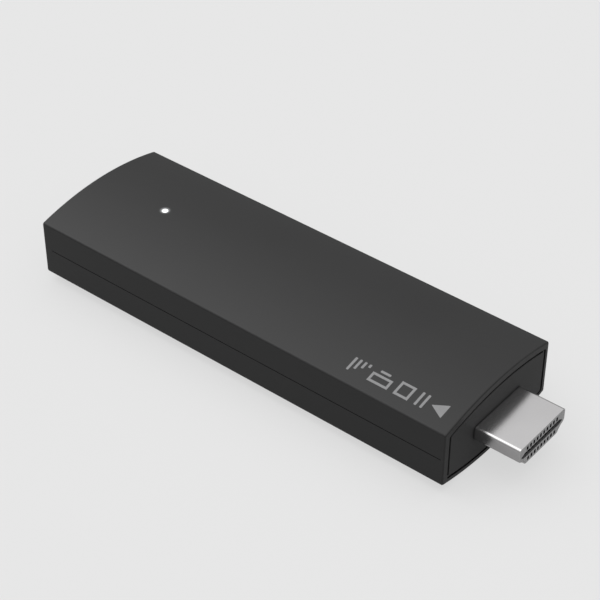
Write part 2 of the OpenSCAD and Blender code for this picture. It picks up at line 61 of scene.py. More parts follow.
# %% Casing sizes
rear_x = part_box("top_shell")[0].x
front_x, half_w, body_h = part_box("top_shell")[1]
split_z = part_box("bottom_shell")[1].z
tip_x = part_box("hdmi_plug_shell")[1].x
wall = 1.6 * MM
crown_rise = 2.05 * MM
crown_r = (half_w ** 2 + crown_rise ** 2) / (2 * crown_rise)
long_edge = 0.36 * MM
rear_edge = 0.34 * MM
front_edge = 0.3 * MM
print("crown radius in mm:", round(crown_r / MM, 1))

# %% [markdown]
# ## Helpers for pieces
# A bmesh is Blender's workbench for meshes: shapes are started there, cut and bent,
# and only then turned into an object. `finish_piece` turns one into an object that
# rides with its body, stands for its CAD node and has soft, weighted shading. The
# other way, editing in the viewport, couldn't be repeated by a script.

# %% Turn a bmesh into an object
def to_object(bm, name):
    bmesh.ops.remove_doubles(bm, verts=bm.verts, dist=1e-7)
    bmesh.ops.recalc_face_normals(bm, faces=bm.faces)
    mesh = bpy.data.meshes.new(name)
    bm.to_mesh(mesh)
    bm.free()
    piece = bpy.data.objects.new(name, mesh)
    bpy.context.scene.collection.objects.link(piece)
    return piece


# %% Finish a piece
def finish_piece(piece, node, body="casing", sharp=28):
    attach(piece, body)
    if node:
        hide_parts(node)
    piece.data.shade_smooth()
    piece.data.set_sharp_from_angle(angle=math.radians(sharp))
    piece.modifiers.new("flat faces stay flat", "WEIGHTED_NORMAL").keep_sharp = True
    spans = [(min(c), max(c)) for c in zip(*(v.co for v in piece.data.vertices))]
    size = [round((high - low) / MM, 2) for low, high in spans]
    print(piece.name, "faces:", len(piece.data.polygons), "size in mm:", size)
    return piece


# %% [markdown]
# ## Cutting one shape with another
# Openings could be left out of the mesh and drawn dark, but a real edge catches
# light. An exact Boolean cuts them, and is applied at once so that the piece keeps
# a plain mesh and the cutter can be thrown away.

# %% Boolean helper
def carve(piece, cutter, how="DIFFERENCE"):
    step = piece.modifiers.new("carve", "BOOLEAN")
    step.operation, step.solver, step.object = how, "EXACT", cutter
    graph = bpy.context.evaluated_depsgraph_get()
    worked, old = bpy.data.meshes.new_from_object(piece.evaluated_get(graph)), piece.data
    piece.modifiers.clear()
    piece.data = worked
    bpy.data.meshes.remove(old)
    bpy.data.objects.remove(cutter)


# %% A bevelled box between two corners
def box_mesh(low, high, edge=0.0):
    bm = bmesh.new()
    bmesh.ops.create_cube(bm, size=1)
    low, high = Vector(low), Vector(high)
    bmesh.ops.scale(bm, vec=high - low, verts=bm.verts)
    bmesh.ops.translate(bm, vec=(low + high) / 2, verts=bm.verts)
    if edge:
        bmesh.ops.bevel(bm, geom=bm.edges[:], offset=edge, offset_type="OFFSET", segments=2,
                        profile=0.5, affect="EDGES", material=-1)
    return bm


# %% [markdown]
# ## The crowned bar
# Every casing surface is the same bar brought in by some inset, so one helper makes
# them all. It starts as a cube, gets strips across its width, and each strip's
# corners are lifted onto the crown's arc. The long edges are rounded before the
# ends, so that the end rounding runs cleanly through the corners. A subdivision
# surface could give the crown too, but it would pull the flat sides out of true.

# %% Round some edges
def round_edges(bm, chosen, radius, segments=4):
    if radius:
        bmesh.ops.bevel(bm, geom=chosen, offset=radius, offset_type="OFFSET", segments=segments,
                        profile=0.5, affect="EDGES", material=-1)


# %% Crown height
def crown_z(y, inset=0.0):
    return body_h - crown_r + math.sqrt((crown_r - inset) ** 2 - y ** 2)


# %% Build a crowned bar
def crowned_bar(x0, x1, inset, shift=(0, 0), long_r=0.0, rear_r=0.0, front_r=0.0, strips=64,
                splits=()):
    half = half_w - inset
    bm = box_mesh((x0, -half, 0), (x1, half, body_h))
    across = [e for e in bm.edges if abs(e.verts[0].co.y - e.verts[1].co.y) > half]
    bmesh.ops.subdivide_edges(bm, edges=across, cuts=strips - 1, use_grid_fill=True)
    for v in bm.verts:
        top = crown_z(v.co.y, inset)
        v.co.z = top if v.co.z > body_h / 2 else body_h - top
    for x in splits:
        bmesh.ops.bisect_plane(bm, geom=bm.verts[:] + bm.edges[:] + bm.faces[:], plane_co=(x, 0, 0),
                               plane_no=(1, 0, 0))
    for side in (-1, 1):
        bm.normal_update()
        bmesh.ops.dissolve_faces(bm, faces=[f for f in bm.faces if f.normal.x * side > 0.9])
    near = 1e-6
    long = [e for e in bm.edges if abs(e.verts[0].co.x - e.verts[1].co.x) > near
            and all(abs(abs(v.co.y) - half) < near for v in e.verts) and e.calc_face_angle(0) > 1]
    round_edges(bm, long, long_r)
    for x, radius in ((x0, rear_r), (x1, front_r)):
        round_edges(bm, [e for e in bm.edges if all(abs(v.co.x - x) < near for v in e.verts)], radius)
    bmesh.ops.translate(bm, vec=(0, *shift), verts=bm.verts)
    return bm


# %% [markdown]
# ## Rounded outlines
# The plug and the printed mark start as flat outlines. Each one is a single face
# whose corners are rounded one by one, then pulled out along an axis. Curves with a
# bevel could do this, but a face is easier to cut and inset. The holes in the rear
# wall start as circles, which are parted at the middle where the hole is wide.

# %% A flat face with rounded corners
def outline_face(bm, points, radii, to_place):
    corners = [bm.verts.new(to_place(*p)) for p in points]
    bm.faces.new(corners)
    for corner, radius in zip(corners, radii):
        if radius:
            bmesh.ops.bevel(bm, geom=[corner], offset=radius, offset_type="OFFSET", segments=6,
                            profile=0.5, affect="VERTICES", material=-1)
    bm.normal_update()
    return max(bm.faces, key=lambda f: f.calc_area())


# %% Pull faces out into a solid
def pull(bm, faces, by):
    out = bmesh.ops.extrude_face_region(bm, geom=faces, use_keep_orig=True)
    moved = [g for g in out["geom"] if isinstance(g, bmesh.types.BMVert)]
    bmesh.ops.translate(bm, vec=by, verts=moved)


# %% A disc or stadium cutter along X
def rear_hole(width, height, y, flare):
    bm = bmesh.new()
    x0 = rear_x - wall
    bmesh.ops.create_circle(bm, cap_ends=True, radius=height / 2, segments=64)
    for v in bm.verts:
        v.co.x += math.copysign((width - height) / 2, v.co.x) if abs(v.co.x) > 1e-9 else 0
    bmesh.ops.transform(bm, matrix=Matrix.Rotation(math.radians(90), 4, "X"), verts=bm.verts)
    bmesh.ops.transform(bm, matrix=Matrix.Rotation(math.radians(90), 4, "Z"), verts=bm.verts)
    bmesh.ops.translate(bm, vec=(x0, y, split_z), verts=bm.verts)
    for step, grow in ((rear_x - x0, 1.0), (flare, None), (3 * wall, 1.0)):
        face = max(bm.faces, key=lambda f: f.calc_center_median().x)
        out = bmesh.ops.extrude_discrete_faces(bm, faces=[face])["faces"]
        bmesh.ops.translate(bm, vec=(step, 0, 0), verts=out[0].verts)
        if grow is None:
            mid = Vector((0, y, split_z))
            bmesh.ops.scale(bm, vec=(1, 1 - 2 * flare / width, 1 - 2 * flare / height),
                            verts=out[0].verts, space=Matrix.Translation(-mid))
    return bm


# %% [markdown]
# ## The casing walls
# The real casing is two moulded shells about 1.6 mm thick. Both are cut from one
# hollow bar, so that their crowns and sides meet without a step. The outer bar is
# hollowed by a smaller one, by the seat of the end panel, and by the panel's own
# opening, which sits a little low and to one side as it does on the real thing.

# %% Hollow bar
rim_t = 1.1 * MM
rim_depth = 1.2 * MM
flange_t = 1.2 * MM
flange_catch = 0.4 * MM
fit_gap = 0.05 * MM
panel_shift = (0.2 * MM, -0.2 * MM)
panel_corner = 0.35 * MM
seat_x = front_x - rim_depth - flange_t
led_x = sum(v.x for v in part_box("light_pipe")) / 2
inner_edge = 0.2 * MM
flange_edge = 0.15 * MM

fence = 3 * MM
fences = (rear_x + fence, led_x - fence, led_x + fence, front_x - fence)
hull = to_object(crowned_bar(rear_x, front_x, 0, long_r=long_edge, rear_r=rear_edge,
                             front_r=front_edge, splits=fences), "hull")
carve(hull, to_object(crowned_bar(rear_x + wall, front_x - rim_depth - fit_gap, wall,
                                  long_r=inner_edge, rear_r=inner_edge), "room"))
carve(hull, to_object(crowned_bar(seat_x, front_x - rim_depth, rim_t - flange_catch - fit_gap,
                                  long_r=flange_edge), "seat"))
carve(hull, to_object(crowned_bar(front_x - rim_depth - fit_gap, front_x + wall, rim_t,
                                  panel_shift, long_r=panel_corner), "opening"))
print("hollow bar faces:", len(hull.data.polygons))

# %% [markdown]
# ## Openings in the walls
# The rear wall has the power inlet's hole and the reset button's hole, half in each
# shell, and the crown has the light pipe's hole. Each rear hole's mouth is flared by a
# tenth of a millimetre, as a moulded edge never leaves the tool dead sharp.

# %% Rear holes and light hole
flare = 0.1 * MM
port_gap = 0.15 * MM
usb_low, usb_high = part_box("usb_c_shell")
usb_shell_w = 8.94 * MM
usb_w = usb_shell_w + 2 * port_gap
usb_h = usb_high.z - usb_low.z + 2 * port_gap
button_low, button_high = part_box("reset_button")
button_y = (button_low.y + button_high.y) / 2
button_hole = 3.3 * MM
pipe_low, pipe_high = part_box("light_pipe")
pipe_d = 1.3 * MM

for width, height, y in ((usb_w, usb_h, 0), (button_hole, button_hole, button_y)):
    carve(hull, to_object(rear_hole(width + 2 * flare, height + 2 * flare, y, flare), "hole"))
drill = bmesh.new()
drill_r = pipe_d / 2 + fit_gap
bmesh.ops.create_cone(drill, cap_ends=True, segments=64, radius1=drill_r, radius2=drill_r,
                      depth=body_h, matrix=Matrix.Translation((led_x, 0, body_h)))
carve(hull, to_object(drill, "drill"))
print("holes cut, light at x in mm:", round(led_x / MM, 2))

# %% [markdown]
# ## Two shells and their seam
# The shells part just above the circuit board. Where they meet, the upper one has a
# narrow reveal groove that stops short of both ends, which hides any mismatch of
# the two mouldings. Its outer lip is opened a little, so it catches a thin light.

# %% Split the hull
seam_h = 0.13 * MM
seam_depth = 0.1 * MM
seam_rear_stop = 1.9 * MM
seam_front_stop = 0.65 * MM
reach = 4 * body_h

lower = bpy.data.objects.new("lower_casing", hull.data.copy())
bpy.context.scene.collection.objects.link(lower)
upper = hull
upper.name = upper.data.name = "upper_casing"
for shell, z0, z1 in ((upper, split_z, reach), (lower, -reach, split_z)):
    carve(shell, to_object(box_mesh((rear_x - wall, -reach, z0), (front_x + wall, reach, z1)), "keep"),
          "INTERSECT")

# %% Seam groove
lip_open = 0.04 * MM
for side in (-1, 1):
    inner, outer = side * (half_w - seam_depth), side * (half_w + wall)
    groove = box_mesh((rear_x + seam_rear_stop, min(inner, outer), split_z - wall),
                      (front_x - seam_front_stop, max(inner, outer), split_z + seam_h))
    for v in groove.verts:
        if abs(v.co.y) > half_w and v.co.z > split_z:
            v.co.z += lip_open * (wall + seam_depth) / seam_depth
    carve(upper, to_object(groove, "groove"))

# %% [markdown]
# ## Inside the upper shell
# A sleeve under the crown guides the light pipe, and six snap arms reach down into
# the lower shell. They are hidden once the stick is shut, but they belong to the
# moulding, and a viewer that cuts the model open should find them.

# %% Sleeve and snap arms
sleeve_d = 4.4 * MM
sleeve_h = 2.0 * MM
arm_w, arm_t, arm_drop, arm_end, arm_edge = 5 * MM, 0.8 * MM, 3.4 * MM, 18 * MM, 0.08 * MM
turn_steps = 64
ring = bmesh.new()
foot = Vector((led_x + pipe_d / 2 + fit_gap, 0, body_h - wall - sleeve_h))
sleeve_t, sleeve_rise = (sleeve_d - pipe_d) / 2, sleeve_h + wall / 2
profile = [ring.verts.new(foot + Vector((x, 0, z))) for x, z in
           ((0, 0), (sleeve_t, 0), (sleeve_t, sleeve_rise), (0, sleeve_rise))]
ends = [ring.edges.new((profile[i], profile[(i + 1) % 4])) for i in range(4)]
bmesh.ops.spin(ring, geom=profile + ends, cent=(led_x, 0, 0), axis=(0, 0, 1), angle=math.tau,
               steps=turn_steps, use_merge=True)
carve(upper, to_object(ring, "sleeve"), "UNION")
for i in range(3):
    x = rear_x + arm_end + i * (front_x - rear_x - 2 * arm_end) / 2
    for side in (-1, 1):
        y = side * (half_w - wall)
        arm = box_mesh((x - arm_w / 2, min(y, y - side * arm_t), split_z - arm_drop),
                       (x + arm_w / 2, max(y, y - side * arm_t), split_z + arm_drop / 2), arm_edge)
        carve(upper, to_object(arm, "arm"), "UNION")
upper_casing = finish_piece(upper, "top_shell")
lower_casing = finish_piece(lower, "bottom_shell")

# %% [markdown]
# ## The plug's outline
# An HDMI plug has a wide flat top, upright sides, and an S-shaped shoulder on each
# side that runs in to a narrower underside, so that it only fits one way up. The
# half outline is named here once and mirrored, and everything around the plug, its
# opening, its sheet and its insulator, is that outline grown or brought in.

# %% Plug sizes and outline
plug_low, plug_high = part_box("hdmi_plug_shell")
plug_z = (plug_low.z + plug_high.z) / 2
plug_w = plug_high.y
plug_h = (plug_high.z - plug_low.z) / 2
plug_sheet = 0.3 * MM
mouth_edge = 0.09 * MM
plug_gap = 0.32 * MM
plug_back = front_x - 5.5 * MM
shoulder = Vector((plug_w, -0.45 * MM))
waist = Vector((5.75 * MM, -1.18 * MM))
toe = Vector((4.85 * MM, -plug_h))
plug_half = [(plug_w, plug_h), tuple(shoulder), tuple(waist), tuple(toe)]
plug_radii = [0.62 * MM, 0.42 * MM, 0.42 * MM, 0.36 * MM]


# %% Plug outline at an X position
def mirrored(half):
    return half + [(-y, z) for y, z in reversed(half)]


def plug_face(bm, x):
    return outline_face(bm, mirrored(plug_half), plug_radii + plug_radii[::-1],
                        lambda y, z: (x, y, plug_z + z))


# %% Grow or shrink the outline
def plug_solid(x0, x1, inset):
    bm = bmesh.new()
    face = plug_face(bm, x0)
    if inset:
        bmesh.ops.inset_region(bm, faces=[face], thickness=abs(inset), use_even_offset=True,
                               use_outset=inset < 0, use_boundary=True)
        middle = max(bm.faces, key=lambda f: f.calc_area())
        if inset > 0:
            bmesh.ops.delete(bm, geom=[f for f in bm.faces if f is not middle], context="FACES")
        else:
            bmesh.ops.dissolve_faces(bm, faces=bm.faces[:])
    pull(bm, bm.faces[:], (x1 - x0, 0, 0))
    return bm


# %% [markdown]
# ## The end panel
# A separate moulding closes the front. Its face lies flush with the rim, with a
# gap of under half a millimetre all round, except where two tiny tabs bridge it. A
# wider flange behind the rim holds it in and closes the view into the casing. A
# painted line for the gap would have no depth, so panel and opening are real shapes.

# %% End panel
panel_gap = 0.46 * MM
panel_edge = 0.1 * MM
tab_w = 0.45 * MM
tab_edge = 0.04 * MM
left_tab_z = crown_rise + 0.85 * MM
top_tab_y = half_w - 1.85 * MM
panel = to_object(crowned_bar(front_x - rim_depth, front_x, rim_t + panel_gap, panel_shift,
                              long_r=panel_corner, front_r=panel_edge), "end_panel_face")
left_y = panel_shift[0] - half_w + rim_t
tabs = [((left_y, left_tab_z), (left_y + 2 * panel_gap, left_tab_z + tab_w)),
        ((top_tab_y, crown_z(top_tab_y, rim_t) - 2 * panel_gap),
         (top_tab_y + tab_w, crown_z(top_tab_y + tab_w, rim_t) + panel_shift[1]))]
for (y0, z0), (y1, z1) in tabs:
    carve(panel, to_object(box_mesh((front_x - rim_depth, y0, z0), (front_x - fit_gap, y1, z1),
                                    tab_edge), "tab"), "UNION")
carve(panel, to_object(crowned_bar(seat_x, front_x - rim_depth + fit_gap,
                                   rim_t - flange_catch + fit_gap, long_r=flange_edge), "flange"), "UNION")
carve(panel, to_object(plug_solid(seat_x - wall, front_x + wall, -plug_gap), "plug hole"))
end_panel = finish_piece(panel, "end_panel")

# %% [markdown]
# ## The plug's metal shell
# The real shell is one strip of plated steel, 0.3 mm thick, folded round and drawn
# to its shape. The outline's face gets an inset as wide as the sheet, its middle is
# taken out, and the ring that is left is pulled along the plug. The bend radii then
# run through both sides of the sheet, as they do in real sheet metal.

# %% Plug shell
sleeve = bmesh.new()
face = plug_face(sleeve, plug_back)
bmesh.ops.inset_region(sleeve, faces=[face], thickness=plug_sheet, use_even_offset=True,
                       use_boundary=True)
middle = max(sleeve.faces, key=lambda f: f.calc_area())
bmesh.ops.delete(sleeve, geom=[middle], context="FACES")
pull(sleeve, sleeve.faces[:], (tip_x - plug_back, 0, 0))
bmesh.ops.recalc_face_normals(sleeve, faces=sleeve.faces)
mouth = [e for e in sleeve.edges if all(abs(v.co.x - tip_x) < 1e-6 for v in e.verts)
         and any(abs(f.normal.x) < 0.1 for f in e.link_faces)]
round_edges(sleeve, mouth, mouth_edge, 3)
plug_shell = finish_piece(to_object(sleeve, "plug_sheet_shell"), "hdmi_plug_shell")

# %% [markdown]
# ## The plug's insulator
# The block inside the shell carries the contacts in two rows of channels, and has
# a wide slot with pointed ends for the socket's tongue. Slot, channels and contact
# windows are cut in turn. The contacts themselves stay as the frame has them.

# %% Insulator block and slot
slot_half, slot_tip, slot_h = 5.25 * MM, 6.2 * MM, 1.2 * MM
slot_depth = 7 * MM
face_x = tip_x - 0.03 * MM
insulator = to_object(plug_solid(plug_back, face_x, plug_sheet + 0.01 * MM), "plug_insulator_block")
slot = bmesh.new()
slot_round, tip_half = 0.15 * MM, 0.12 * slot_h
slot_side = [(slot_half, slot_h / 2), (slot_tip, tip_half), (slot_tip, -tip_half), (slot_half, -slot_h / 2)]
slot_face = outline_face(slot, mirrored(slot_side), [slot_round] * 8,
                         lambda y, z: (tip_x - slot_depth, y, plug_z + z))
pull(slot, [slot_face], (2 * slot_depth, 0, 0))
carve(insulator, to_object(slot, "slot"))

# %% Pour one bmesh into another
def pour(part, into):
    scrap = bpy.data.meshes.new("scrap")
    part.to_mesh(scrap)
    into.from_mesh(scrap)
    part.free()
    bpy.data.meshes.remove(scrap)


# %% Channels and windows
pitch = 1.0 * MM
chan_w, chan_h, chan_edge = 0.56 * MM, 0.85 * MM, 0.04 * MM
upper_row, lower_row = 1.22 * MM, -1.37 * MM
window_rear, window_front = tip_x - 5.7 * MM, tip_x - 0.45 * MM
window_toward_slot = 0.4
for x0, x1, is_window, edge in ((plug_back - wall, tip_x + wall, False, chan_edge),
                                (window_rear, window_front, True, 0)):
    cuts = bmesh.new()
    for row, count in ((upper_row, 10), (lower_row, 9)):
        for i in range(count):
            y = (i - (count - 1) / 2) * pitch
            z0, z1 = sorted((row, window_toward_slot * row)) if is_window else (
                row - chan_h / 2, row + chan_h / 2)
            pour(box_mesh((x0, y - chan_w / 2, plug_z + z0), (x1, y + chan_w / 2, plug_z + z1), edge), cuts)
    carve(insulator, to_object(cuts, "channels"))
plug_insulator = finish_piece(insulator, "hdmi_insulator")

# %% [markdown]
# ## The light pipe
# A clear rod carries the status light from the board up through the crown. It is a
# turned shape, so a half profile is spun once round its axis: a foot, a collar that
# stops it under the crown, and a slightly domed end that shows as a round dot.

# %% Spin the light pipe
collar_low = body_h - wall - 0.8 * MM
collar_r = (pipe_high.x - pipe_low.x) / 2
top_r = pipe_d / 2
steps = [(0, pipe_low.z), (0.9 * MM, pipe_low.z), (MM, pipe_low.z + 0.1 * MM), (MM, collar_low),
         (collar_r - 0.1 * MM, collar_low), (collar_r, collar_low + 0.1 * MM),
         (collar_r, body_h - wall - 0.1 * MM), (collar_r - 0.1 * MM, body_h - wall), (top_r, body_h - wall),
         (top_r, body_h - 0.12 * MM), (0.85 * top_r, body_h - 0.04 * MM), (0.5 * top_r, body_h - 0.01 * MM),
         (0, body_h)]
rod = bmesh.new()
line = [rod.verts.new((led_x + r, 0, z)) for r, z in steps]
wires = [rod.edges.new(pair) for pair in zip(line, line[1:])]
bmesh.ops.spin(rod, geom=line + wires, cent=(led_x, 0, 0), axis=(0, 0, 1), angle=math.tau, steps=48,
               use_merge=True)
light_rod = finish_piece(to_object(rod, "status_light_rod"), "light_pipe")

# %% [markdown]
# ## The printed mark
# Near the plug, the real stick carries a pad-printed mark in light grey ink. Here
# it is a row of plain player symbols. Each is a flat outline given the thickness
# of an ink film, sliced into narrow strips, and laid onto the crown. A texture
# could carry it too, but a film of its own keeps a crisp edge at any distance.

# %% Ink film helper
ink_t = 0.02 * MM
mark_front_x = front_x - 2.9 * MM
mark_mid_y = -11.5 * MM
mark_h = 3.0 * MM
slices = 12


# %% Draw one symbol
def draw_symbol(ink, points, at, line=0.0):
    part = bmesh.new()
    place = lambda u, v: (mark_front_x - (at + u) * mark_h, mark_mid_y - v * mark_h, 0)
    face = outline_face(part, points, [0 if line else corner_round * mark_h] * len(points), place)
    if line:
        bmesh.ops.inset_region(part, faces=[face], thickness=line * mark_h, use_even_offset=True,
                               use_boundary=True)
        middle = max(part.faces, key=lambda f: f.calc_area())
        bmesh.ops.delete(part, geom=[middle], context="FACES")
    pull(part, part.faces[:], (0, 0, ink_t))
    for i in range(1, slices):
        level = mark_mid_y - mark_h / 2 + i * mark_h / slices
        bmesh.ops.bisect_plane(part, geom=part.verts[:] + part.edges[:] + part.faces[:],
                               plane_co=(0, level, 0), plane_no=(0, 1, 0))
    pour(part, ink)


# %% Lay out the symbols
def block(u0, v0, u1, v1):
    return [(u0, v0), (u1, v0), (u1, v1), (u0, v1)]


ink = bmesh.new()
stroke = 0.16
corner_round = 0.05
ink_sunk = 0.2 * ink_t
pause_at, stop_at, screen_at, signal_at = 1.3, 2.28, 3.7, 5.4
pause_step, signal_step, signal_rise = 2.4 * stroke, 2.1 * stroke, 0.25
draw_symbol(ink, [(0, -0.5), (0.95, 0), (0, 0.5)], 0)
draw_symbol(ink, block(0, -0.5, stroke, 0.5), pause_at)
draw_symbol(ink, block(0, -0.5, stroke, 0.5), pause_at + pause_step)
draw_symbol(ink, block(0, -0.5, 1.0, 0.5), stop_at, stroke)
draw_symbol(ink, block(0, -0.18, 1.4, 0.5), screen_at, stroke)
draw_symbol(ink, block(0.35, -0.5, 1.05, -0.5 + stroke), screen_at)
for i in range(4):
    draw_symbol(ink, block(0, -0.5, stroke, signal_rise * (i - 1)), signal_at + signal_step * i)
for v in ink.verts:
    v.co.z += crown_z(v.co.y) - ink_sunk
printed_mark = finish_piece(to_object(ink, "printed_mark"), None, sharp=40)

# %% [markdown]
# ## Helpers for materials
# Materials here are node graphs made by a script. One helper adds a node, sets its
# inputs and draws its wires. Another builds a node group, which is an effect with
# named inputs and outputs that several materials share, each with its own values.

# %% Add a node and wire it
def add(tree, kind, wires=None, **settings):
    made = tree.nodes.new(kind if kind.startswith("Node") else "ShaderNode" + kind)
    for key, value in settings.items():
        setattr(made, key, value)
    for key, value in (wires or {}).items():
        if isinstance(value, bpy.types.NodeSocket):
            tree.links.new(value, made.inputs[key])
        else:
            made.inputs[key].default_value = value
    return made


# %% Sum, product and range of a value
def math_node(tree, how, a, b=0.0):
    return add(tree, "Math", {0: a, 1: b}, operation=how).outputs[0]


def ranged(tree, value, from_low, from_high, to_low, to_high):
    return add(tree, "MapRange", {0: value, 1: from_low, 2: from_high, 3: to_low, 4: to_high}).outputs[0]


# %% Build a node group
def effect(name, inputs, outputs, build):
    group = bpy.data.node_groups.new(name, "ShaderNodeTree")
    for label, default in inputs:
        socket = group.interface.new_socket(label, in_out="INPUT", socket_type="NodeSocketFloat")
        socket.default_value = default
    for label in outputs:
        group.interface.new_socket(label, in_out="OUTPUT", socket_type="NodeSocketFloat")
    start, end = add(group, "NodeGroupInput"), add(group, "NodeGroupOutput")
    for label, value in build(group, start.outputs).items():
        group.links.new(value, end.inputs[label])
    print("effect:", name, "with", len(group.nodes), "nodes")
    return group


def use(tree, group, **values):
    made = add(tree, "Group", node_tree=group)
    for label, value in values.items():
        made.inputs[label.replace("_", " ")].default_value = value
    return made.outputs


# %% [markdown]
# ## Moulded grain
# The mould of a plastic casing is roughened by fine sparks, and the plastic copies
# that grain. It is a field of tiny soft pits, a tenth of a millimetre apart, over a
# slower drift in tone. Height feeds a Bump node, Drift and Speck vary the colour and
# the gloss. Real displacement would need millions of faces for the same effect.

# %% Grain effect
speck_share = 0.33
pit_share, fine_share = 0.7, 0.5


def grain_nodes(tree, given):
    spot = add(tree, "TexCoord").outputs["Object"]
    pits = add(tree, "TexVoronoi", {"Vector": spot, "Scale": given["Pits per metre"], "Randomness": 1.0},
               feature="SMOOTH_F1")
    fine = add(tree, "TexNoise", {"Vector": spot, "Scale": given["Pits per metre"], "Detail": 2.0})
    slow = add(tree, "TexNoise", {"Vector": spot, "Scale": given["Drift per metre"], "Detail": 3.0})
    specks = math_node(tree, "MULTIPLY", given["Pits per metre"], speck_share)
    speck = add(tree, "TexNoise", {"Vector": spot, "Scale": specks, "Detail": 1.0})
    height = math_node(tree, "ADD", math_node(tree, "MULTIPLY", pits.outputs["Distance"], pit_share),
                       math_node(tree, "MULTIPLY", fine.outputs[0], fine_share))
    return {"Height": height, "Drift": slow.outputs[0], "Speck": speck.outputs[0]}


grain = effect("moulded_grain", [("Pits per metre", 7000.0), ("Drift per metre", 60.0)],
               ["Height", "Drift", "Speck"], grain_nodes)


# %% [markdown]
# ## Worn edges
# Handling polishes the edges of a thing first. A Bevel node gives the normal that a
# rounded edge would have, and where that differs from the real normal there is an
# edge. Pointiness does the same for dense meshes, but smears over long faces. Noise
# breaks the wear up, so that it isn't an even outline.

# %% Edge wear effect
flat_agrees, edge_agrees = 0.995, 0.9
patches_per_metre = 900.0
least_wear = 0.3


def wear_nodes(tree, given):
    spot = add(tree, "TexCoord").outputs["Object"]
    rounded = add(tree, "Bevel", {"Radius": given["Width"]}, samples=4).outputs[0]
    straight = add(tree, "NewGeometry").outputs["Normal"]
    agree = add(tree, "VectorMath", {0: rounded, 1: straight}, operation="DOT_PRODUCT").outputs["Value"]
    edge = ranged(tree, agree, flat_agrees, edge_agrees, 0.0, 1.0)
    patch = add(tree, "TexNoise", {"Vector": spot, "Scale": patches_per_metre, "Detail": 3.0}).outputs[0]
    broken = ranged(tree, patch, 0.35, 0.65, least_wear, 1.0)
    worn = math_node(tree, "MULTIPLY", edge, broken)
    return {"Wear": math_node(tree, "MULTIPLY", worn, given["Amount"])}


wear = effect("worn_edges", [("Amount", 1.0), ("Width", 0.25 * MM)], ["Wear"], wear_nodes)


# %% [markdown]
# ## Painted shade in crevices
# Gaps and hole edges are darkened in the body colour itself: this is painted shade, on
# top of the shade that the light casts. An Ambient Occlusion node measures how open each
# spot is, and the mask darkens the body colour where it isn't.

# %% Painted crevice shade effect
shut_below, open_above = 0.42, 0.9


def painted_crevice_shade_nodes(tree, given):
    # Painted shade: openness from Ambient Occlusion, later used to darken the colour
    openness = add(tree, "AmbientOcclusion", {"Distance": given["Reach"]}, samples=6).outputs["AO"]
    return {"Open": ranged(tree, openness, shut_below, open_above, 0.0, 1.0)}


painted_crevice_shade = effect("painted_shade_in_crevices", [("Reach", 0.6 * MM)], ["Open"], painted_crevice_shade_nodes)


# %% [markdown]
# ## Rolled and plated metal
# Sheet metal keeps the fine lines of the rolls along its length, even under plating.
# Noise stretched thirtyfold along X gives those lines, and a rounder noise gives the
# faint orange peel of the plating bath. A slow haze lets the colour drift.

# %% Rolled metal effect
line_stretch = (0.03, 1.0, 1.0)
peel_per_metre, haze_per_metre = 1500.0, 250.0
line_share, peel_share = 0.6, 0.4


def rolled_nodes(tree, given):
    spot = add(tree, "TexCoord").outputs["Object"]
    drawn = add(tree, "Mapping", {"Vector": spot, "Scale": line_stretch}).outputs[0]
    lines, peel, haze = (
        add(tree, "TexNoise", {"Vector": where, "Scale": scale, "Detail": detail}).outputs[0]
        for where, scale, detail in ((drawn, given["Lines per metre"], 4.0), (spot, peel_per_metre, 2.0),
                                     (spot, haze_per_metre, 3.0)))
    height = math_node(tree, "ADD", math_node(tree, "MULTIPLY", lines, line_share),
                       math_node(tree, "MULTIPLY", peel, peel_share))
    return {"Height": height, "Lines": lines, "Haze": haze}


rolled = effect("rolled_metal", [("Lines per metre", 9000.0)], ["Height", "Lines", "Haze"], rolled_nodes)


# %% [markdown]
# ## Plastic finishes
# One recipe makes every moulded plastic: a dark or light body colour that drifts a
# little, grain in the bump, gloss that breaks up with the grain, polished edges, and painted shade that
# darkens the colour in crevices.
# What differs from piece to piece is passed in: colour, gloss and depth of grain.

# %% Shader start
def shader(name, **fixed):
    mat = bpy.data.materials.new(name)
    mat.use_nodes = True
    tree = mat.node_tree
    tree.nodes.clear()
    skin = add(tree, "BsdfPrincipled", {key.replace("_", " "): value for key, value in fixed.items()})
    out = add(tree, "OutputMaterial")
    tree.links.new(skin.outputs[0], out.inputs[0])
    return mat, tree, skin


# %% Two colours by a mask
def blend_colours(tree, mask, low, high):
    low, high = ((*c, 1.0) if isinstance(c, tuple) else c for c in (low, high))
    return add(tree, "Mix", {0: mask, 6: low, 7: high}, data_type="RGBA").outputs[2]


# %% A shader's own nodes, and a bump fed to it
def skin_of(mat):
    return next(n for n in mat.node_tree.nodes if n.type == "BSDF_PRINCIPLED")


def bump_skin(tree, skin, strength, distance, height):
    bump = add(tree, "Bump", {"Strength": strength, "Distance": distance, "Height": height})
    tree.links.new(bump.outputs[0], skin.inputs["Normal"])


# %% Moulded plastic
gloss_swing = 0.03
polish = 0.12


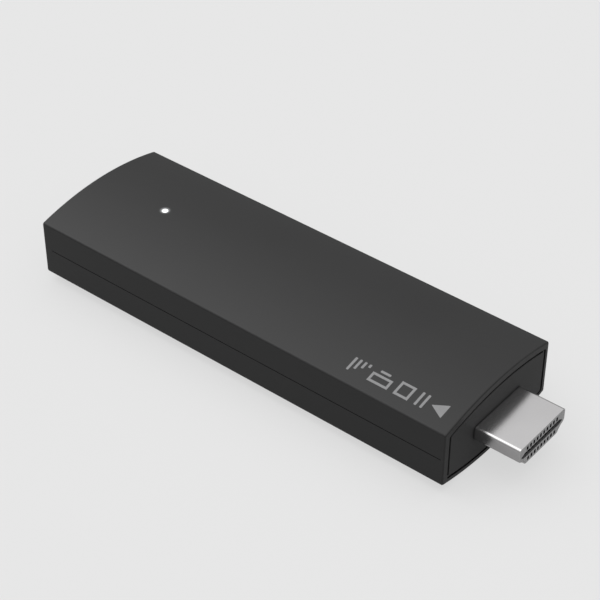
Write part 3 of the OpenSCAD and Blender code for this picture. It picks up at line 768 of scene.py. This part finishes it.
def plastic(name, dark, light, gloss, depth=0.004 * MM, pits=7000.0, worn=0.5, reach=0.6 * MM,
            painted_shade_factor=0.04, **fixed):
    mat, tree, skin = shader(name, **fixed)
    g = use(tree, grain, Pits_per_metre=pits)
    w = use(tree, wear, Amount=worn)["Wear"]
    tone = math_node(tree, "ADD", math_node(tree, "MULTIPLY", g["Drift"], 0.6),
                     math_node(tree, "MULTIPLY", g["Speck"], 0.4))
    body = blend_colours(tree, ranged(tree, tone, 0.35, 0.65, 0.0, 1.0), dark, light)
    edge = tuple(min(1.0, 1.4 * c + 0.006) for c in light)
    worn_body = blend_colours(tree, w, body, edge)
    # Painted shade: in shut-in spots the body colour falls to a small share of the dark tone
    painted_shade_colour = tuple(painted_shade_factor * c for c in dark)
    out_of_painted_shade = use(tree, painted_crevice_shade, Reach=reach)["Open"]
    tree.links.new(blend_colours(tree, out_of_painted_shade, painted_shade_colour, worn_body), skin.inputs["Base Color"])
    rough = ranged(tree, tone, 0.35, 0.65, gloss - gloss_swing, gloss + gloss_swing)
    tree.links.new(math_node(tree, "SUBTRACT", rough, math_node(tree, "MULTIPLY", w, polish)),
                   skin.inputs["Roughness"])
    bump_skin(tree, skin, 0.5, depth, g["Height"])
    return mat


# %% [markdown]
# ## Metal finishes
# One recipe makes the metals: full metallic, a colour that drifts with the haze, gloss
# that follows the rolled lines, and painted shade that darkens the colour in crevices.
# A plated connector is smoother than a stamped shield can, and gold differs from tin only in its colours.

# %% Metal
metal_painted_shade_factor = 0.08
metal_reach = 0.5 * MM


def metal(name, dark, light, gloss, spread=0.03, depth=0.0004 * MM, lines=9000.0, worn=0.4, **fixed):
    mat, tree, skin = shader(name, Metallic=1.0, **fixed)
    m = use(tree, rolled, Lines_per_metre=lines)
    w = use(tree, wear, Amount=worn)["Wear"]
    body = blend_colours(tree, ranged(tree, m["Haze"], 0.3, 0.7, 0.0, 1.0), dark, light)
    edge = tuple(min(1.0, 1.15 * c) for c in light)
    # Painted shade: in shut-in spots the metal colour falls to a small share of the dark tone
    painted_shade_colour = tuple(metal_painted_shade_factor * c for c in dark)
    out_of_painted_shade = use(tree, painted_crevice_shade, Reach=metal_reach)["Open"]
    worn_body = blend_colours(tree, w, body, edge)
    tree.links.new(blend_colours(tree, out_of_painted_shade, painted_shade_colour, worn_body), skin.inputs["Base Color"])
    rough = ranged(tree, m["Lines"], 0.3, 0.7, gloss - spread, gloss + spread)
    tree.links.new(rough, skin.inputs["Roughness"])
    bump_skin(tree, skin, 0.4, depth, m["Height"])
    return mat


# %% [markdown]
# ## The casing's own plastic
# The casing is a dark neutral grey with an even, satin grain. Round the status light
# the plastic glows faintly, because a little light leaks sideways through it. The
# glow is a soft ring in Object coordinates centred on the light pipe, fed to the
# emission colour, so it stays on the crown wherever the camera goes.

# %% Casing material
charcoal_dark, charcoal_light = (0.016, 0.016, 0.0161), (0.0184, 0.0184, 0.0185)
casing = plastic("casing_plastic", charcoal_dark, charcoal_light, 0.44, Specular_IOR_Level=0.325)
tree, skin = casing.node_tree, skin_of(casing)
glow_reach, glow_fade = 0.6 * MM, 2.0
no_glow, full_glow = (0.0, 0.0, 0.0), (0.3, 0.305, 0.31)


def from_light(tree, spot):
    return add(tree, "VectorMath", {0: spot, 1: (led_x, 0, body_h)}, operation="DISTANCE").outputs["Value"]


to_light = from_light(tree, add(tree, "TexCoord").outputs["Object"])
glow = math_node(tree, "POWER", ranged(tree, to_light, top_r, top_r + glow_reach, 1.0, 0.0), glow_fade)
tree.links.new(blend_colours(tree, glow, no_glow, full_glow), skin.inputs["Emission Color"])
skin.inputs["Emission Strength"].default_value = 1.0

# %% Panel, print and button plastics
panel_plastic = plastic("panel_plastic", (0.0265, 0.0265, 0.0267), (0.0305, 0.0305, 0.0307), 0.55, worn=0.3,
                        Specular_IOR_Level=0.3)
ink_grey = plastic("mark_ink", (0.18, 0.18, 0.183), (0.21, 0.21, 0.213), 0.6, depth=0.003 * MM,
                   pits=5000.0, worn=0.0, painted_shade_factor=1.0)
button_plastic = plastic("button_plastic", (0.012, 0.012, 0.012), (0.018, 0.018, 0.018), 0.42)
insulator_plastic = plastic("insulator_plastic", (0.33, 0.327, 0.33), (0.38, 0.377, 0.38), 0.38,
                            depth=0.002 * MM, worn=0.2)

# %% Painted shade inside the slot and channels
tree, skin = insulator_plastic.node_tree, skin_of(insulator_plastic)
face_skin, face_fade = 0.01 * MM, 0.04 * MM
mouth_deep, mouth_near = 1.6 * MM, 0.3 * MM
channel_painted_shade, slot_painted_shade = (0.004, 0.004, 0.004), (0.1, 0.099, 0.1)
where = add(tree, "SeparateXYZ", {0: add(tree, "TexCoord").outputs["Object"]}).outputs
# Painted shade: behind the face the colour falls to near black in the channels, and to dark grey in the slot
# near its mouth
inside = ranged(tree, where["X"], face_x - face_fade, face_x - face_skin, 0.0, 1.0)
off_middle = math_node(tree, "ABSOLUTE", math_node(tree, "SUBTRACT", where["Z"], plug_z))
in_slot = ranged(tree, off_middle, slot_h / 2 + 0.01 * MM, slot_h / 2 + 0.05 * MM, 1.0, 0.0)
near_mouth = math_node(tree, "MULTIPLY", in_slot,
                       ranged(tree, where["X"], face_x - mouth_deep, face_x - mouth_near, 0.0, 1.0))
painted_recess_shade = blend_colours(tree, near_mouth, channel_painted_shade, slot_painted_shade)
tree.links.new(blend_colours(tree, inside, painted_recess_shade, skin.inputs["Base Color"].links[0].from_socket),
               skin.inputs["Base Color"])

# %% Metals of the connectors
plug_nickel = metal("plug_nickel", (0.56, 0.552, 0.555), (0.58, 0.572, 0.575), 0.2, spread=0.012,
                    depth=0.0002 * MM)
inlet_steel = metal("inlet_steel", (0.5, 0.49, 0.47), (0.57, 0.56, 0.54), 0.28)
gold = metal("contact_gold", (0.78, 0.55, 0.22), (0.88, 0.65, 0.3), 0.22)

# %% [markdown]
# ## The status light
# The rod is clear polycarbonate, but lit from below it reads as a small white disc.
# Its end glows, a touch cooler at the rim, and the rest of the rod stays clear.

# %% Light rod material
lit_top = 0.3 * MM
core_edge, rim_edge = 0.62 * top_r, 1.02 * top_r
rod_dark, rim_glow, core_glow = (0.03, 0.03, 0.032), (0.11, 0.112, 0.115), (1.0, 1.0, 1.0)
rod_mat, tree, skin = shader("lit_clear_rod", IOR=1.58, Transmission_Weight=1.0, Emission_Strength=2.2)
spot = add(tree, "TexCoord").outputs["Object"]
heights = add(tree, "SeparateXYZ", {0: spot}).outputs["Z"]
at_end = ranged(tree, heights, body_h - wall, body_h - lit_top, 0.0, 1.0)
flow = use(tree, grain, Pits_per_metre=2500.0)
disc = blend_colours(tree, ranged(tree, from_light(tree, spot), core_edge, rim_edge, 1.0, 0.0),
                     rim_glow, core_glow)
tree.links.new(blend_colours(tree, at_end, rod_dark, disc), skin.inputs["Emission Color"])
tree.links.new(blend_colours(tree, flow["Drift"], (0.9, 0.93, 0.95), (0.97, 0.98, 1.0)),
               skin.inputs["Base Color"])
tree.links.new(ranged(tree, flow["Speck"], 0.3, 0.7, 0.08, 0.18), skin.inputs["Roughness"])
bump_skin(tree, skin, 0.3, 0.001 * MM, flow["Height"])

# %% [markdown]
# ## Finishes inside the stick
# The inner pieces keep the frame's own meshes, and only their finish is made here.
# The circuit board has green mask over copper tracks, chips are dull black epoxy,
# shields are tinned sheet, and the thermal pads are soft filled silicone.

# %% Circuit board mask
track_layout = {"Scale": 650.0, "Mortar Size": 0.035, "Brick Width": 1.7, "Row Height": 0.55,
                "Color1": (0, 0, 0, 1), "Color2": (0.25, 0.25, 0.25, 1), "Mortar": (1, 1, 1, 1)}
track_height = 0.01 * MM


def board_mask(name, dark, light, copper):
    mat, tree, skin = shader(name, Specular_IOR_Level=0.5, Coat_Roughness=0.12)
    spot = add(tree, "TexCoord").outputs["Object"]
    g = use(tree, grain, Pits_per_metre=3000.0)
    cells = add(tree, "TexBrick", {"Vector": spot, **track_layout}, offset=0.5)
    track = add(tree, "RGBToBW", {0: cells.outputs[0]}).outputs[0]
    mask = blend_colours(tree, g["Drift"], dark, light)
    tree.links.new(blend_colours(tree, track, mask, copper), skin.inputs["Base Color"])
    tree.links.new(ranged(tree, g["Speck"], 0.3, 0.7, 0.3, 0.42), skin.inputs["Roughness"])
    tree.links.new(ranged(tree, track, 0.0, 1.0, 0.55, 0.3), skin.inputs["Coat Weight"])
    bump_skin(tree, skin, 0.6, track_height, track)
    return mat


# %% Inner finishes
green_mask = board_mask("green_mask", (0.006, 0.05, 0.022), (0.01, 0.075, 0.034), (0.03, 0.16, 0.07))
radio_mask = board_mask("radio_mask", (0.008, 0.03, 0.016), (0.012, 0.045, 0.025), (0.03, 0.1, 0.06))
tin = metal("tinned_sheet", (0.5, 0.5, 0.49), (0.62, 0.62, 0.61), 0.34, lines=4000.0)
spreader_alloy = metal("spreader_alloy", (0.5, 0.51, 0.52), (0.6, 0.61, 0.62), 0.42, lines=2500.0)
screw_zinc = metal("screw_zinc", (0.42, 0.42, 0.43), (0.55, 0.55, 0.56), 0.3, worn=0.8)
antenna_gold = metal("antenna_plate", (0.7, 0.56, 0.28), (0.8, 0.66, 0.36), 0.3, lines=3000.0)
epoxy = plastic("chip_epoxy", (0.012, 0.012, 0.013), (0.02, 0.02, 0.021), 0.58, depth=0.006 * MM, pits=9000.0)
pad_grey = plastic("thermal_pad", (0.24, 0.3, 0.37), (0.3, 0.37, 0.44), 0.7, depth=0.02 * MM, pits=2500.0,
                   worn=0.0)
ceramic = plastic("capacitor_ceramic", (0.33, 0.2, 0.1), (0.42, 0.27, 0.15), 0.5, pits=12000.0)
resistor_body = plastic("resistor_body", (0.02, 0.02, 0.03), (0.03, 0.03, 0.045), 0.35, pits=12000.0)
ferrite = plastic("ferrite_block", (0.05, 0.048, 0.047), (0.08, 0.078, 0.075), 0.65, depth=0.012 * MM,
                  pits=5000.0)
led_white = plastic("led_package", (0.72, 0.71, 0.66), (0.8, 0.79, 0.74), 0.4, pits=9000.0, worn=0.0)
switch_white = plastic("plunger_plastic", (0.6, 0.59, 0.56), (0.7, 0.69, 0.66), 0.45)
inlet_black = plastic("inlet_plastic", (0.014, 0.014, 0.015), (0.02, 0.02, 0.022), 0.45)

# %% [markdown]
# ## Dressing every piece
# The record says which material slot each node has, so the finish goes on by slot.
# Every node is dressed by slot, the hidden ones that a new piece stands for too, and the
# new pieces are dressed by name. Nothing is left in a flat colour, even where only a cut-open view shows it.

# %% Finish by slot
finish_of = {
    "led_body": led_white, "gold_contacts": gold, "board_mask": green_mask, "screw_steel": screw_zinc,
    "inlet_metal": inlet_steel, "inlet_plastic": inlet_black, "button_plastic": button_plastic,
    "plunger_plastic": switch_white, "switch_metal": tin, "chip_package": epoxy, "shield_metal": tin,
    "thermal_pad": pad_grey, "spreader_metal": spreader_alloy, "antenna_metal": antenna_gold,
    "ferrite": ferrite, "capacitor_ceramic": ceramic, "resistor_ceramic": resistor_body,
    "crystal_can": tin, "top_casing": casing, "bottom_casing": casing, "panel_plastic": panel_plastic,
    "plug_metal": plug_nickel, "plug_insulator": insulator_plastic, "clear_pipe": rod_mat,
}
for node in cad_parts.values():
    for part_slot in node.material_slots:
        part_slot.material = finish_of[part_slot.material.name.split(".")[0]]
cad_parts["wireless_board"].material_slots[0].material = radio_mask
for piece, finish in ((upper_casing, casing), (lower_casing, casing), (end_panel, panel_plastic),
                      (plug_shell, plug_nickel), (plug_insulator, insulator_plastic), (light_rod, rod_mat),
                      (printed_mark, ink_grey)):
    piece.data.materials.clear()
    piece.data.materials.append(finish)
print("finishes in use:", len(set(finish_of.values())) + 2)

# %% [markdown]
# ## Floor and light
# The stick lies on a plain pale floor in soft, even light. The sky is brightest high
# up and dims to the horizon, so that the crown is lighter than the sides, and a wide
# soft light from the rear left shapes the near edge. Mirror-bright metal sees a sky
# with a lower peak, or it would burn out from above. The floor glows a little, like a
# light table, which keeps the shadow faint, and it is clear when seen from below.

# %% Floor
floor_half = 6.0
floor_tone, floor_glow, floor_seen = 0.14, 0.29, 0.612
bm = bmesh.new()
bmesh.ops.create_grid(bm, x_segments=1, y_segments=1, size=floor_half)
floor = to_object(bm, "studio_floor")
pale, tree, skin = shader("pale_floor", Roughness=0.9, Specular_IOR_Level=0.0)
skin.inputs["Base Color"].default_value = (floor_tone, floor_tone, floor_tone, 1)
skin.inputs["Emission Color"].default_value = (1, 1, 1, 1)
seen = add(tree, "LightPath").outputs["Is Camera Ray"]
tree.links.new(ranged(tree, seen, 0.0, 1.0, floor_glow, floor_seen), skin.inputs["Emission Strength"])
from_below = add(tree, "NewGeometry").outputs["Backfacing"]
clear = add(tree, "BsdfTransparent").outputs[0]
floor_shader = add(tree, "MixShader", {0: from_below, 1: skin.outputs[0], 2: clear})
out = next(n for n in tree.nodes if n.type == "OUTPUT_MATERIAL")
tree.links.new(floor_shader.outputs[0], out.inputs[0])
floor.data.materials.append(pale)

# %% Sky
sky_rim, sky_top, sky_climb, backdrop = 0.33, 2.02, 3.3, 0.79
sky_mirrored = 0.42
glow_way = Vector((-0.65, -0.1, 0.75)).normalized()
glow_strength, glow_focus = 2.2, 12.0
world = bpy.data.worlds.new("soft_sky")
bpy.context.scene.world = world
world.use_nodes = True
tree = world.node_tree
tree.nodes.clear()
way = add(tree, "TexCoord").outputs["Generated"]
height = add(tree, "SeparateXYZ", {0: way}).outputs["Z"]
lift = math_node(tree, "POWER", math_node(tree, "MAXIMUM", height, 0.0), sky_climb)
facing = add(tree, "VectorMath", {0: way, 1: glow_way}, operation="DOT_PRODUCT").outputs["Value"]
soft_box = math_node(tree, "POWER", math_node(tree, "MAXIMUM", facing, 0.0), glow_focus)
ray = add(tree, "LightPath").outputs
mirrored_lift = math_node(tree, "MINIMUM", lift, sky_mirrored)
lift = add(tree, "Mix", {0: ray["Is Glossy Ray"], 2: lift, 3: mirrored_lift}).outputs[0]
dome = math_node(tree, "ADD", math_node(tree, "MULTIPLY", lift, sky_top), sky_rim)
lit = math_node(tree, "ADD", dome, math_node(tree, "MULTIPLY", soft_box, glow_strength))
shown = add(tree, "Mix", {0: ray["Is Camera Ray"], 2: lit, 3: backdrop}).outputs[0]
sky = add(tree, "Background", {"Strength": shown})
sky.inputs["Color"].default_value = (1.0, 1.0, 1.0, 1.0)
add(tree, "OutputWorld", {"Surface": sky.outputs[0]})

# %% [markdown]
# ## The camera
# The portrait is taken from the plug end, above and to one side, through a long
# lens that keeps the bar's edges nearly parallel.

# %% Camera
camera_at = Vector((158.0, -196.7, 214.2)) * MM
looks = Vector((-0.4899, 0.6054, -0.6273))
across = Vector((0.7769, 0.6296, 0.0008))
lens = bpy.data.cameras.new("portrait_lens")
lens.lens, lens.sensor_width = 107.8, 36.0
camera = bpy.data.objects.new("portrait_camera", lens)
turn = Matrix((across, across.cross(looks).normalized(), -looks)).transposed()
camera.matrix_world = Matrix.Translation(camera_at) @ turn.to_4x4()
bpy.context.scene.collection.objects.link(camera)
bpy.context.scene.camera = camera
bpy.context.scene.view_settings.view_transform = "Standard"
